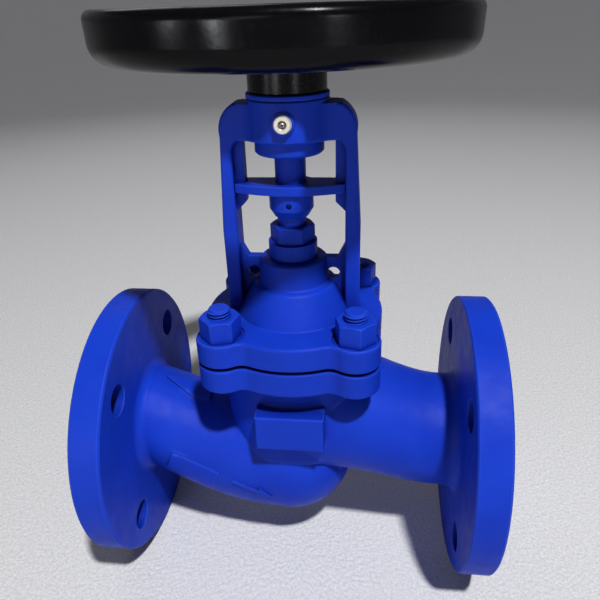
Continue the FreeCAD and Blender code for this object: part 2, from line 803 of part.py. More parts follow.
def make_grease_nipple():
    """The grease nipple: a short thread, a round head with a dished face and a ball in it."""
    face = head_dia / 2 + nipple_boss_reach
    radius = nipple_head_dia / 2
    thread = nipple_thread_dia / 2
    ball = nipple_ball_dia / 2
    tip = face + nipple_head_height
    shank_start = bearing_bore_dia / 2 + face_play
    dish = tip - nipple_dish_depth
    outline = [(0, shank_start), (thread, shank_start), (thread, face), (radius, face), (radius, dish),
               (nipple_rim_dia / 2, tip), (nipple_dish_dia / 2, tip), (ball, dish), (0, dish)]
    button = turned(outline).fuse(Part.makeSphere(ball, Vector(0, 0, dish)))
    button.rotate(Vector(0, 0, 0), Vector(1, 0, 0), 90)
    button.translate(Vector(0, 0, head_z + nipple_height_in_head))
    return button


def make_bearing_cap():
    """The cap screwed into the head over the thrust washers."""
    plug = cylinder(bearing_bore_dia - 2 * fixed_play, cap_foot_z, head_top_z)
    lid = cylinder(cap_dia, head_top_z, cap_top_z)
    rim = [edge for edge in lid.Edges if edge.BoundBox.ZMin > cap_top_z - 0.01]
    cap = plug.fuse(lid.makeChamfer(cap_height / 4, rim))
    return cap.cut(cylinder(nut_shank_dia + 2 * running_play, cap_foot_z - 1, cap_top_z + 1))


def keyway(x0, x1):
    """The slot for the key."""
    low = sleeve_z + (sleeve_height - key_length) / 2
    return block(x0, x1, -key_width / 2 - fixed_play, key_width / 2 + fixed_play,
                 low - fixed_play, low + key_length + fixed_play)


def make_stem_nut():
    """The stem nut: it turns in the head, takes the stem's thread and carries the handwheel."""
    shank_top = hub_top_z - face_play
    nut = cylinder(nut_sleeve_dia, lower_boss_z + face_play, nut_flange_z)
    nut = nut.fuse(cylinder(nut_flange_dia, nut_flange_z, nut_flange_z + nut_flange_height))
    nut = nut.fuse(cylinder(nut_shank_dia, nut_flange_z, shank_top))
    thread = cylinder(nut_thread_dia, shank_top, hub_top_z + nut_thread_length)
    rim = [edge for edge in thread.Edges if edge.BoundBox.ZMin > hub_top_z + nut_thread_length - 0.01]
    nut = nut.fuse(thread.makeChamfer(wheel_sheet / 3, rim))
    nut = nut.cut(cylinder(screw_dia + 2 * thread_play, lower_boss_z - 1, hub_top_z + nut_thread_length + 1))
    return nut.cut(keyway(nut_shank_dia / 2 - key_height / 2, nut_shank_dia))


# Handwheel

def make_sleeve():
    """The sleeve under the wheel, keyed to the stem nut."""
    sleeve = cylinder(sleeve_dia, sleeve_z, hub_z)
    rims = [edge for edge in sleeve.Edges if edge.BoundBox.ZMax < sleeve_z + 0.01]
    sleeve = sleeve.makeChamfer(head_edge / 2, rims)
    sleeve = sleeve.cut(cylinder(nut_shank_dia + 2 * fixed_play, sleeve_z - 1, hub_z + 1))
    return sleeve.cut(keyway(0, nut_shank_dia / 2 + key_height / 2 + fixed_play))


def make_key():
    """The key between stem nut and sleeve."""
    low = sleeve_z + (sleeve_height - key_length) / 2
    inner = nut_shank_dia / 2 - key_height / 2
    return block(inner, inner + key_height, -key_width / 2, key_width / 2, low, low + key_length)


def rim_section():
    """The pressed sheet's section: its outer line from hub to rim and turned-in lip, thickened inwards."""
    hub = wheel_hub_dia / 2
    rim = wheel_dia / 2
    top = rim_foot_z + rim_height
    lip = rim - rim_lip_width
    outer_line = [(nut_shank_dia / 2 + fixed_play, hub_z), (hub, hub_z), (hub + wheel_shoulder_run, spoke_z),
                  (rim_slope_start, spoke_z), (rim_slope_end, rim_foot_z), (rim - rim_taper, rim_foot_z),
                  (rim, top), (lip, top), (lip - rim_lip_slant, top - rim_lip_fall)]
    bends = [wheel_bend_radius] * 4 + [rim_foot_radius, rim_head_radius, rim_lip_radius]
    path = Part.Wire(rounded([Vector(radius, 0, height) for radius, height in outer_line], bends))
    round_joins = 0
    return path.makeOffset2D(wheel_sheet, round_joins, True, True, False)


def window(grow, low, high):
    """A window between two spokes: a ring sector with sides parallel to the spokes and round corners."""
    ring = tube(wheel_window_outer_dia + 2 * grow, wheel_window_inner_dia - 2 * grow, low, high)
    half = spoke_width / 2 - grow
    reach = wheel_window_outer_dia
    side = block(0, reach, half, reach, low, high)
    other = block(0, reach, -reach, -half, low, high)
    other.rotate(Vector(0, 0, 0), Vector(0, 0, 1), 360.0 / spoke_count)
    sector = ring.common(side).common(other)
    uprights = [edge for edge in sector.Edges if edge.BoundBox.ZLength > (high - low) / 2]
    return sector.makeFillet(wheel_window_corner + grow, uprights)


def make_handwheel():
    """The pressed handwheel: dished hub, deep round rim and three windows with turned-down edges."""
    wheel = rim_section().revolve(Vector(0, 0, 0), Vector(0, 0, 1), 360)
    edge = window(wheel_sheet, spoke_z - window_lip, spoke_z + wheel_sheet / 2)
    opening = window(0, spoke_z - rim_height, spoke_z + rim_height)
    for copy in around(edge, spoke_count, spoke_start_angle):
        wheel = wheel.fuse(copy)
    for copy in around(opening, spoke_count, spoke_start_angle):
        wheel = wheel.cut(copy)
    return wheel


# Stem group

def make_screw():
    """The threaded upper stem, from the coupling to above the handwheel nut."""
    low = plate_z - screw_depth_in_coupling
    top = wheel_nut_top_z - screw_end_over_wheel_nut
    radius = screw_dia / 2
    bevel = screw_pitch / 4
    screw = turned([(0, low), (radius, low), (radius, top - bevel), (radius - bevel, top), (0, top)])
    return screw.cut(pin_hole())


def pin_hole():
    """The cross hole for the coupling pin."""
    return Part.makeCylinder(coupling_pin_dia / 2 + fixed_play, coupling_dia * 2,
                             Vector(0, -coupling_dia, pin_z), Vector(0, 1, 0))


def make_coupling():
    """The coupling sleeve between the screw and the spindle, with a tapered foot."""
    spindle_hole = spindle_dia + 2 * fixed_play
    foot = spindle_dia / 2 + coupling_pin_sink
    outer = coupling_dia / 2
    body = turned([(0, coupling_z), (foot, coupling_z), (outer, coupling_z + coupling_taper_height),
                   (outer, plate_z), (0, plate_z)])
    body = body.cut(cylinder(spindle_hole, coupling_z - 1, plate_z - screw_depth_in_coupling))
    body = body.cut(cylinder(screw_dia + 2 * fixed_play, plate_z - screw_depth_in_coupling, plate_z + 1))
    return body.cut(pin_hole())


def make_pin():
    """The pin through coupling and screw, sunk below the surface."""
    length = coupling_dia - 2 * coupling_pin_sink
    return Part.makeCylinder(coupling_pin_dia / 2, length, Vector(0, -length / 2, pin_z), Vector(0, 1, 0))


def make_guide_plate():
    """The plate that shows the lift and stops the stem turning: bowed in front, forked round the ribs."""
    half = arm_inner_x - guide_play
    notch = arm_inner_x - guide_rib_reach - guide_play
    slot = guide_rib_width / 2 + guide_play
    top = plate_z + plate_thickness
    width = plate_end_width / 2
    bowed = Part.Wire([
        arc(Vector(-half, -width, plate_z), Vector(0, -plate_front_reach, plate_z),
            Vector(half, -width, plate_z)),
        line(Vector(half, -width, plate_z), Vector(half, width, plate_z)),
        line(Vector(half, width, plate_z), Vector(-half, width, plate_z)),
        line(Vector(-half, width, plate_z), Vector(-half, -width, plate_z)),
    ])
    bar = Part.Face(bowed).extrude(Vector(0, 0, plate_thickness))
    plate = bar.fuse(cylinder(plate_hub_dia, plate_z, top))
    waist = math.sqrt((plate_hub_dia / 2) ** 2 - width**2)
    blends = [edge for edge in plate.Edges if edge.BoundBox.ZLength > plate_thickness / 2
              and abs(abs(edge.CenterOfMass.x) - waist) < 0.01
              and abs(edge.CenterOfMass.y - width) < 0.01]
    plate = plate.removeSplitter().makeFillet(plate_blend, blends)
    for side in (-1, 1):
        x0, x1 = sorted((side * notch, side * (half + 1)))
        plate = plate.cut(block(x0, x1, -slot, slot, plate_z - 1, top + 1))
    return plate.cut(cylinder(screw_dia + 2 * fixed_play, plate_z - 1, top + 1))


def make_spindle():
    """The plain lower stem, with the foot that the disc hangs on."""
    foot = disc_z + disc_floor + face_play
    top = plate_z - screw_depth_in_coupling
    radius = spindle_dia / 2
    shoulder = spindle_foot_dia / 2
    return turned([(0, foot), (shoulder, foot), (shoulder, foot + spindle_foot_height - fixed_play),
                   (radius, foot + spindle_foot_height - fixed_play), (radius, top), (0, top)])


def make_collar():
    """The collar on the stem that the bellows is welded to."""
    return tube(collar_dia, spindle_dia + 2 * fixed_play, collar_z, bellows_z)


def make_bellows():
    """The bellows: a thin wall folded in and out between two cuffs."""
    outer = bellows_outer_dia / 2
    inner = bellows_inner_dia / 2
    top = bellows_z + bellows_length
    fold_low = bellows_z + bellows_cuff_height
    fold_high = top - bellows_cuff_height
    half_fold = (fold_high - fold_low) / (2 * bellows_convolutions)
    outside = [(inner + bellows_wall, bellows_z), (inner + bellows_wall, fold_low)]
    inside = [(inner, bellows_z), (inner, fold_low)]
    for number in range(bellows_convolutions):
        crest = fold_low + (2 * number + 1) * half_fold
        root = crest + half_fold
        outside += [(outer, crest), (inner + bellows_wall, root)]
        inside += [(outer - bellows_wall, crest), (inner, root)]
    outside.append((inner + bellows_wall, top))
    inside.append((inner, top))
    return turned(outside + inside[::-1])


def make_bellows_ring():
    """The ring clamped in the joint, with the weld neck that holds the bellows' upper end."""
    neck_low = bellows_z + bellows_length
    outer = gasket_outer_dia - 2 * fixed_play
    ring = cylinder(outer, ring_z, ring_z + bellows_ring_thickness)
    ring = ring.fuse(cylinder(bellows_inner_dia + 4 * bellows_wall, neck_low, ring_z))
    return ring.cut(cylinder(spindle_dia + 2 * guide_play, neck_low - 1, base_z))


def make_disc():
    """The disc, flat on the seat, with the socket for the stem's foot."""
    rim = disc_dia / 2
    top = disc_z + disc_hub_height
    hub = disc_hub_dia / 2
    back = disc_z + disc_rim_height
    outline = [(0, disc_z), (rim - disc_edge, disc_z), (rim, disc_z + disc_edge), (rim, back),
               (hub, back + disc_back_fall), (hub, top), (0, top)]
    disc = turned(outline)
    socket = cylinder(disc_socket_dia, disc_z + disc_floor, top + 1)
    return disc.cut(socket)


def make_disc_nut():
    """The ring nut that holds the disc to the stem's foot."""
    foot_top = disc_z + disc_floor + disc_socket_height
    flange_z = disc_z + disc_hub_height
    nut = cylinder(disc_socket_dia - 2 * fixed_play, foot_top, flange_z)
    nut = nut.fuse(cylinder(disc_nut_flange_dia, flange_z, flange_z + disc_nut_flange_height))
    bore_top = flange_z + disc_nut_flange_height + 1
    return nut.cut(cylinder(spindle_dia + 2 * fixed_play, foot_top - 1, bore_top))


os.makedirs("parts", exist_ok=True)
export(make_body(), "valve_body")
export(make_seat_ring(), "seat_ring")
gasket_rim = gasket_outer_dia - 2 * fixed_play
export(flat_ring(gasket_rim, gasket_inner_dia, recess_z, gasket_thickness), "body_gasket")
export(make_bellows_ring(), "bellows_top_ring")
export(flat_ring(gasket_rim, gasket_inner_dia, base_z - gasket_thickness, gasket_thickness), "bonnet_gasket")
export(make_bonnet(), "bonnet_yoke")
export(make_studs(), "bonnet_studs")
export(make_nuts(), "bonnet_nuts")
export(flat_ring(packing_outer_dia, packing_inner_dia, packing_floor_z, packing_base_height),
       "packing_base_ring")
export(make_packing(), "packing_rings")
export(flat_ring(packing_outer_dia, packing_inner_dia, follower_z, gland_follower_height), "gland_follower")
export(make_gland_nut(), "gland_nut")
export(make_grease_nipple(), "grease_nipple")
washer_inner = nut_shank_dia + 2 * guide_play
export(flat_ring(bearing_bore_dia - 2 * fixed_play, nut_sleeve_dia + 2 * guide_play, bearing_floor_z,
                 thrust_washer_height), "thrust_washer_lower")
export(flat_ring(bearing_bore_dia - 2 * fixed_play, washer_inner, cap_foot_z - thrust_washer_height,
                 thrust_washer_height), "thrust_washer_upper")
export(make_bearing_cap(), "bearing_cap")
export(make_stem_nut(), "stem_nut")
export(make_sleeve(), "handwheel_sleeve")
export(make_key(), "handwheel_key")
export(make_handwheel(), "handwheel")
export(flat_ring(wheel_washer_dia, nut_thread_dia + 2 * fixed_play, hub_top_z, wheel_washer_height),
       "handwheel_washer")
export(hexagon(wheel_nut_flats, washer_top_z, wheel_nut_top_z, nut_thread_dia + 2 * fixed_play,
               wheel_nut_turn), "handwheel_nut")
export(make_screw(), "upper_stem")
export(make_coupling(), "stem_coupling")
export(make_pin(), "coupling_pin")
export(make_guide_plate(), "guide_plate")
export(make_spindle(), "lower_stem")
export(make_collar(), "bellows_collar")
export(make_bellows(), "bellows")
export(make_disc(), "valve_disc")
export(make_disc_nut(), "disc_nut")
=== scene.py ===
# %% [markdown]
# # Dressing a bellows seal globe valve
#
# The valve comes in as a finished CAD assembly, so its shapes and places are already right. What is left is
# what a camera sees: thick matte paint over sand-cast iron, a glossy enamelled handwheel, a satin sleeve,
# plated small parts, and the threads that CAD keeps plain. This lesson adds them one finish and one piece
# at a time, from the camera outwards.

import math

import bmesh
import bpy
from mathutils import Matrix, Vector


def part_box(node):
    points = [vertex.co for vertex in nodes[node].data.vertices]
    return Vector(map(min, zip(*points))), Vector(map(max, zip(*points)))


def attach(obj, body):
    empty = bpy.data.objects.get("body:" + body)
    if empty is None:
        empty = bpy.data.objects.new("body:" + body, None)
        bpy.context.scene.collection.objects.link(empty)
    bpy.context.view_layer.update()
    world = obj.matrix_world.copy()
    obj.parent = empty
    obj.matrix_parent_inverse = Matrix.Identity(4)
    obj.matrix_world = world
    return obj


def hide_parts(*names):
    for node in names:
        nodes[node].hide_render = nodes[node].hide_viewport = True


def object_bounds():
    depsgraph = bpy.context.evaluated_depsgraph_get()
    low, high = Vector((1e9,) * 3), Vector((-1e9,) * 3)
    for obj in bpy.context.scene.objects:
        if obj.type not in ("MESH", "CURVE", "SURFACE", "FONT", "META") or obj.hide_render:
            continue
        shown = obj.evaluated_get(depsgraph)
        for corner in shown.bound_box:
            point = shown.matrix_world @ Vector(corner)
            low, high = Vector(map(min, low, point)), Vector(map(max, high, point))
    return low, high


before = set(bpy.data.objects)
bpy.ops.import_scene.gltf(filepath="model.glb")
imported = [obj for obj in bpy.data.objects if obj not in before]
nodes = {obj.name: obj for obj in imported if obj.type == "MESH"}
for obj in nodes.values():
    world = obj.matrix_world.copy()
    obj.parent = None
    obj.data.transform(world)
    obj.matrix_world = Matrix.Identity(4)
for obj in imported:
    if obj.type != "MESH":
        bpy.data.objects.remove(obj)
cad_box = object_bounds()
centre = (cad_box[0] + cad_box[1]) / 2

# %% [markdown]
# ## The camera
#
# The real picture was taken by hand from above the front flange. Its place was found by matching known
# points on the flange rims, so the camera gets a place, a heading, a downward tilt and a slight roll. Its
# axes are built from those angles, which is easier to read than three Euler angles.

# %% Place the camera
camera_place = Vector((0.03962, -0.29264, 0.32165))
heading, tilt, roll = 0.125261183, 0.475752712, -0.0326642152
sight = Vector((-math.sin(heading) * math.cos(tilt), math.cos(heading) * math.cos(tilt), -math.sin(tilt)))
across = Vector((math.cos(heading), math.sin(heading), 0.0))
upward = across.cross(sight)
across, upward = (
    math.cos(roll) * across + math.sin(roll) * upward,
    math.cos(roll) * upward - math.sin(roll) * across,
)
axes = Matrix((across, upward, -sight)).transposed().to_4x4()

camera_data = bpy.data.cameras.new("camera")
camera_data.lens = 34.727
camera_data.sensor_width = 36.0
camera_data.clip_start = 0.01
camera = bpy.data.objects.new("camera", camera_data)
camera.matrix_world = Matrix.Translation(camera_place) @ axes
bpy.context.scene.collection.objects.link(camera)
bpy.context.scene.camera = camera
bpy.context.scene.view_settings.view_transform = "Standard"
print("camera at", camera_place, "looking along", sight)

# %% [markdown]
# ## The studio
#
# The valve was photographed under a high lamp, in front of it and to the right. It brightens the dome and
# the joint, and throws the wheel's round shadow over yoke and neck. One round lamp stands for it, small
# enough that the shadows keep their shape and large enough that their edges stay soft. A low broad lamp in
# front fills what the wheel shades, and a weak one behind keeps the far side readable.


# %% Soft lamps
def lamp(name, place, aim, wide, high, watts, tint=(1.0, 1.0, 1.0)):
    """An oval soft lamp that faces a point."""
    data = bpy.data.lights.new(name, "AREA")
    data.shape = "ELLIPSE"
    data.size, data.size_y = wide, high
    data.energy = watts
    data.color = tint
    thing = bpy.data.objects.new(name, data)
    facing = (Vector(aim) - Vector(place)).to_track_quat("-Z", "Y")
    thing.matrix_world = Matrix.Translation(Vector(place)) @ facing.to_matrix().to_4x4()
    bpy.context.scene.collection.objects.link(thing)
    return thing


lamp("high_lamp", (0.47, -0.94, 1.90), centre, 0.12, 0.12, 48.0)
lamp("front_fill", (-0.25, -1.40, 0.50), centre, 0.60, 0.30, 1.3)
lamp("far_side", (-0.55, 1.10, 1.10), centre, 0.80, 0.80, 1.6)

# %% [markdown]
# ## Lights for the wheel's streaks
#
# A glossy black wheel shows only what it mirrors. Three low strip lights stand just under its height, where
# its upright wall mirrors them as pale streaks. They would also brighten the paint, so their diffuse light
# is switched off and only their reflection stays. A strip's heading is counted from straight in front.

# %% Strip lights
strip_distance, strip_level, strip_height = 1.25, 0.25, 0.06
strip_tint = (0.95, 0.97, 1.0)
strips = (("strip_left", -52, 0.18, 1.2), ("strip_middle", -26, 0.24, 2.6), ("strip_right", 30, 0.14, 1.4))
wheel_middle = Vector((0.0, 0.0, 0.31))
for name, azimuth, wide, watts in strips:
    turn = math.radians(azimuth)
    spot = (strip_distance * math.sin(turn), -strip_distance * math.cos(turn), strip_level)
    strip = lamp(name, spot, wheel_middle, wide, strip_height, watts, strip_tint)
    strip.visible_diffuse = False
print("strip lights:", [row[0] for row in strips])

# %% [markdown]
# ## Small helpers for node materials
#
# A finish is a graph of nodes that ends in one Principled shader. The first helpers start such a graph, add
# a node and set its sockets by name, as a value or as a link from another node.


# %% Helpers that add nodes
def fresh_material(name):
    """A material with one Principled shader, and nothing else in its graph."""
    material = bpy.data.materials.new(name)
    material.use_nodes = True
    tree = material.node_tree
    shader = tree.nodes["Principled BSDF"]
    return material, tree, shader


def add(tree, kind, settings=None, **sockets):
    """A new node: settings are its own properties, sockets its inputs by name, as values or links."""
    made = tree.nodes.new("ShaderNode" + kind)
    for key, value in (settings or {}).items():
        setattr(made, key, value)
    for key, value in sockets.items():
        put(tree, made.inputs[key.replace("_", " ")], value)
    return made


def put(tree, socket, value):
    """A value or a link into a socket."""
    if isinstance(value, bpy.types.NodeSocket):
        tree.links.new(value, socket)
    else:
        socket.default_value = value


print("helpers that add nodes are ready")

# %% [markdown]
# ## Arithmetic, colours and noise in nodes
#
# Most steps of a finish are sums, comparisons, colour mixes and soft noise. With one helper for each, a
# finish reads like the recipe that it is. A mask is 1 where it holds and 0 elsewhere, so two masks that
# hold together are their product.


# %% Helpers that calculate
def sum_of(tree, operation, first, second=0.0, third=0.0, clamp=False):
    """One arithmetic step; returns its result."""
    made = tree.nodes.new("ShaderNodeMath")
    made.operation = operation
    made.use_clamp = clamp
    for socket, value in zip(made.inputs, (first, second, third)):
        put(tree, socket, value)
    return made.outputs[0]


def above(tree, value, limit):
    """A mask of where a value lies over a limit."""
    return sum_of(tree, "GREATER_THAN", value, limit)


def below(tree, value, limit):
    """A mask of where a value lies under a limit."""
    return sum_of(tree, "LESS_THAN", value, limit)


def both(tree, first, second):
    """A mask of where two masks hold together."""
    return sum_of(tree, "MULTIPLY", first, second)


def blend(tree, factor, first, second):
    """A mix of two colours; returns it."""
    made = tree.nodes.new("ShaderNodeMix")
    made.data_type = "RGBA"
    put(tree, made.inputs["Factor"], factor)
    for socket, value in ((made.inputs[6], first), (made.inputs[7], second)):
        put(tree, socket, value if isinstance(value, bpy.types.NodeSocket) else (*value, 1.0))
    return made.outputs[2]


def span(tree, value, low, high, to_low=0.0, to_high=1.0):
    """A value mapped smoothly from one range to another."""
    limits = {"From_Min": low, "From_Max": high, "To_Min": to_low, "To_Max": to_high}
    made = add(tree, "MapRange", {"interpolation_type": "SMOOTHSTEP"}, Value=value, **limits)
    return made.outputs["Result"]


def noise(tree, place, size, detail=2.0, roughness=0.5):
    """Soft random values; size is the width of a patch in metres."""
    made = add(tree, "TexNoise", Vector=place, Scale=1.0 / size, Detail=detail, Roughness=roughness)
    return made.outputs["Fac"]


print("helpers that calculate are ready")

# %% [markdown]
# ## The floor's shape
#
# A studio's pale sheet has no horizon: it lies flat round the object and then curves up. Turned right
# round, it is a shallow bowl, so that every view has the same plain ground. It starts as a disc whose edge
# is extruded outwards step by step, each step steeper than the last. Its faces are then turned to look
# inwards.

# %% Floor
flat_radius, curve_radius, wall_height, curve_steps = 1.9, 0.9, 0.8, 10
bowl = bmesh.new()
bmesh.ops.create_circle(bowl, cap_ends=True, segments=96, radius=flat_radius)
edge_ring = [edge for edge in bowl.edges if edge.is_boundary]
reach, height = flat_radius, 0.0
for step in range(1, curve_steps + 2):
    turn = math.radians(90 * min(step, curve_steps) / curve_steps)
    next_reach = flat_radius + curve_radius * math.sin(turn)
    next_height = curve_radius * (1 - math.cos(turn)) + (wall_height if step > curve_steps else 0.0)
    grown = bmesh.ops.extrude_edge_only(bowl, edges=edge_ring)["geom"]
    ring = [part for part in grown if isinstance(part, bmesh.types.BMVert)]
    edge_ring = [part for part in grown if isinstance(part, bmesh.types.BMEdge)]
    bmesh.ops.scale(bowl, vec=(next_reach / reach, next_reach / reach, 1.0), verts=ring)
    bmesh.ops.translate(bowl, vec=(0, 0, next_height - height), verts=ring)
    reach, height = next_reach, next_height
for face in bowl.faces:
    face.smooth = True
    if face.normal.z < 0 or (abs(face.normal.z) < 1e-3 and face.normal.dot(face.calc_center_median()) > 0):
        face.normal_flip()
floor_mesh = bpy.data.meshes.new("floor")
bowl.to_mesh(floor_mesh)
bowl.free()
floor = bpy.data.objects.new("floor", floor_mesh)
bpy.context.scene.collection.objects.link(floor)
print("floor radius", flat_radius, "m, bowl", round(reach, 2), "m")

# %% [markdown]
# ## Felt on the floor, and the sky
#
# The sheet is pale felt: fine mottling in its colour, and a bump from slightly larger noise that catches
# the lamp. Away from the valve its colour turns greyer: a pool of lamp light painted into the sheet. A
# Mapping node moves the middle of that pool a little behind the valve. Above it a dim pale sky fills the
# shadows, brighter overhead than at the sides, as a hall with lamps in its ceiling is.

# %% Felt and sky
mottle_size, felt_size, felt_height = 0.0018, 0.0035, 0.0009
pool_behind, pool_edge, pool_end = 0.35, 0.90, 2.40
sheet, tree, shader = fresh_material("pale_sheet")
place = add(tree, "TexCoord").outputs["Object"]
mottle = noise(tree, place, mottle_size, 5.0, 0.7)
sheet_colour = blend(tree, span(tree, mottle, 0.3, 0.7), (0.58, 0.58, 0.60), (0.77, 0.77, 0.78))
fibres = noise(tree, place, felt_size, 4.0, 0.65)
felt = add(tree, "Bump", Height=fibres, Distance=felt_height, Strength=1.0)
put(tree, shader.inputs["Normal"], felt.outputs["Normal"])
middle = add(tree, "Mapping", Vector=place)
middle.inputs["Location"].default_value = (0.0, -pool_behind, 0.0)
from_middle = add(tree, "VectorMath", {"operation": "LENGTH"}, Vector=middle.outputs["Vector"])
# Painted light: the sheet's colour greys with distance from the pool's middle, standing in for the lamp's
# fall-off.
painted_pool_fade = span(tree, from_middle.outputs["Value"], pool_edge, pool_end)
sheet_colour = blend(tree, painted_pool_fade, sheet_colour, (0.42, 0.42, 0.44))
put(tree, shader.inputs["Base Color"], sheet_colour)
shader.inputs["Roughness"].default_value = 0.75
shader.inputs["Specular IOR Level"].default_value = 0.2
floor_mesh.materials.append(sheet)

world = bpy.data.worlds.new("surroundings")
world.use_nodes = True
bpy.context.scene.world = world
tree = world.node_tree
upward_part = add(tree, "SeparateXYZ", Vector=add(tree, "TexCoord").outputs["Generated"]).outputs["Z"]
background = tree.nodes["Background"]
background.inputs["Color"].default_value = (0.95, 0.97, 1.0, 1.0)
side_strength, overhead_strength = 0.015, 0.055
put(tree, background.inputs["Strength"], span(tree, upward_part, 0.1, 1.0, side_strength, overhead_strength))
print("pale sheet and sky are ready, sky strength", side_strength, "to", overhead_strength)

# %% [markdown]
# ## Matte blue paint over cast iron
#
# Most of the valve wears one thick coat of ultramarine paint. Sand casting leaves three things under it:
# slow swells a few millimetres wide, fine grit, and creases that the pattern maker and the paint have
# rounded off. The swells and grit are a bump from two sizes of noise. For the creases, real fillets on
# such blended shapes are costly, so the Bevel node rounds the shading where faces meet: it looks along
# the surface for the next face and bends the normal over a set radius. Light and shade are painted into
# the coat's colour too: a lighter painted highlight on open edges, painted shade in corners, and nearly
# black painted shade in sheltered pockets. Two occlusion nodes, one with a short reach and one with a
# long, find the corners and the pockets.


# %% Paint maker
# The coat's colours: main blue, a deeper tone for random patches and painted corner shade, near-black painted
# pocket shade, and a lighter blue for painted edge highlights.
blue_deep_and_corner_shade = (0.0022, 0.012, 0.28)
blue_main = (0.0062, 0.041, 0.51)
blue_edge_highlight = (0.0340, 0.110, 0.76)
blue_pocket_shade = (0.0008, 0.003, 0.09)
paint_gloss = 0.09
corner_reach, pocket_reach = 0.010, 0.050
coat_smooth, coat_rough = 0.42, 0.56


def paint_colour(tree, place, crease):
    """The blue of a coat, with painted shade and edge highlights, and its normal with the creases rounded."""
    rounding = add(tree, "Bevel", {"samples": 6}, Radius=crease)
    true_normal = add(tree, "NewGeometry").outputs["True Normal"]
    turn = tree.nodes.new("ShaderNodeVectorMath")
    turn.operation = "DOT_PRODUCT"
    put(tree, turn.inputs[0], rounding.outputs["Normal"])
    put(tree, turn.inputs[1], true_normal)
    on_edge = span(tree, turn.outputs["Value"], 1.0, 0.86)
    openness = add(tree, "AmbientOcclusion", {"samples": 6}, Distance=corner_reach).outputs["AO"]
    shelter = add(tree, "AmbientOcclusion", {"samples": 6}, Distance=pocket_reach).outputs["AO"]
    patches = noise(tree, place, 0.030, 2.0)
    colour = blend(tree, span(tree, patches, 0.3, 0.7, 0.0, 0.22), blue_main, blue_deep_and_corner_shade)
    # Painted shade: the coat darkens in corners that the short occlusion finds.
    colour = blend(tree, span(tree, openness, 0.25, 0.75, 0.75, 0.0), colour, blue_deep_and_corner_shade)
    # Painted shade: sheltered pockets that the long occlusion finds go nearly black.
    colour = blend(tree, span(tree, shelter, 0.12, 0.62, 0.95, 0.0), colour, blue_pocket_shade)
    # Painted highlight: open edges turn lighter blue, as if lit.
    lit_edge = sum_of(tree, "MULTIPLY", on_edge, span(tree, openness, 0.6, 1.0, 0.0, 0.8))
    return blend(tree, lit_edge, colour, blue_edge_highlight), rounding.outputs["Normal"]


def rough_skin(tree, place, normal, swell, grit):
    """The bump of a cast skin: swells 5 mm wide and grit 0.8 mm wide, with their heights in metres."""
    swells = noise(tree, place, 0.005, 1.0)
    slow = add(tree, "Bump", Height=swells, Distance=swell, Strength=1.0, Normal=normal)
    grains = noise(tree, place, 0.0008, 3.0, 0.6)
    fine = add(tree, "Bump", Height=grains, Distance=grit, Strength=1.0, Normal=slow.outputs["Normal"])
    return fine.outputs["Normal"]


def painted(name, crease, swell, grit):
    """The blue coat on one kind of surface."""
    material, tree, shader = fresh_material(name)
    place = add(tree, "TexCoord").outputs["Object"]
    colour, normal = paint_colour(tree, place, crease)
    put(tree, shader.inputs["Base Color"], colour)
    put(tree, shader.inputs["Normal"], rough_skin(tree, place, normal, swell, grit))
    patches = noise(tree, place, 0.010, 2.0)
    put(tree, shader.inputs["Roughness"], span(tree, patches, 0.2, 0.8, coat_smooth, coat_rough))
    shader.inputs["Specular IOR Level"].default_value = paint_gloss
    return material


cast_swell, cast_grit = 0.00018, 0.00007
cast_paint = painted("cast_paint", 0.0014, cast_swell, cast_grit)
small_paint = painted("small_paint", 0.0006, 0.00004, 0.00003)
print("blue coats:", cast_paint.name, small_paint.name)

# %% [markdown]
# ## The body: where it is bare
#
# The two raised faces are turned on a lathe after painting, so they are bare. The ducts inside were never
# painted: raw dark iron. One material covers all three, because each point's place says which it is, in
# metres from the stem's axis and the floor. The raised faces are the easiest: they lie furthest out along
# the flow axis.


# %% Bare places
def distance_from(tree, first, second):
    """The length of two coordinates taken together."""
    squares = [sum_of(tree, "MULTIPLY", side, side) for side in (first, second)]
    return sum_of(tree, "SQRT", sum_of(tree, "ADD", *squares))


flow_height, face_x = 0.0825, 0.11488
body_paint, tree, shader = fresh_material("body_paint")
place = add(tree, "TexCoord").outputs["Object"]
parts = add(tree, "SeparateXYZ", Vector=place).outputs
x, y, z = parts["X"], parts["Y"], parts["Z"]
rise = sum_of(tree, "SUBTRACT", z, flow_height)
far_x = sum_of(tree, "ABSOLUTE", x)
from_flow = distance_from(tree, y, rise)
on_face = above(tree, far_x, face_x)
print("faces beyond", face_x, "m from the middle")

# %% [markdown]
# ## The body: inside the inlet duct
#
# The inlet duct widens and dips under the seat. A quarter of a sine wave gives the dip of its centre line,
# and a point is inside where it lies nearer to that line than the duct's radius there. At the belly the
# tube ends in a rounded bowl, which the distance past the belly's start adds.

# %% Inlet duct
inlet_start, inlet_run, inlet_dip_depth, inlet_end = 0.090, 0.065, 0.020, 0.026
inlet_radius, inlet_flare, inlet_widest, belly_start = 0.0285, 0.0765, 0.0345, 0.005
from_start = sum_of(tree, "ADD", x, inlet_start)
inlet_share = sum_of(tree, "DIVIDE", from_start, inlet_run, clamp=True)
inlet_wave = sum_of(tree, "SINE", sum_of(tree, "MULTIPLY", inlet_share, math.pi / 2))
inlet_dip = sum_of(tree, "MULTIPLY", inlet_wave, inlet_dip_depth)
inlet_reach = sum_of(tree, "MULTIPLY_ADD", from_start, inlet_flare, inlet_radius)
inlet_reach = sum_of(tree, "MINIMUM", inlet_reach, inlet_widest)
past_belly = sum_of(tree, "MAXIMUM", sum_of(tree, "ADD", x, belly_start), 0.0)
from_inlet = distance_from(tree, y, sum_of(tree, "ADD", rise, inlet_dip))
in_inlet = sum_of(tree, "LESS_THAN", distance_from(tree, from_inlet, past_belly), inlet_reach)
in_inlet = both(tree, in_inlet, below(tree, x, inlet_end))
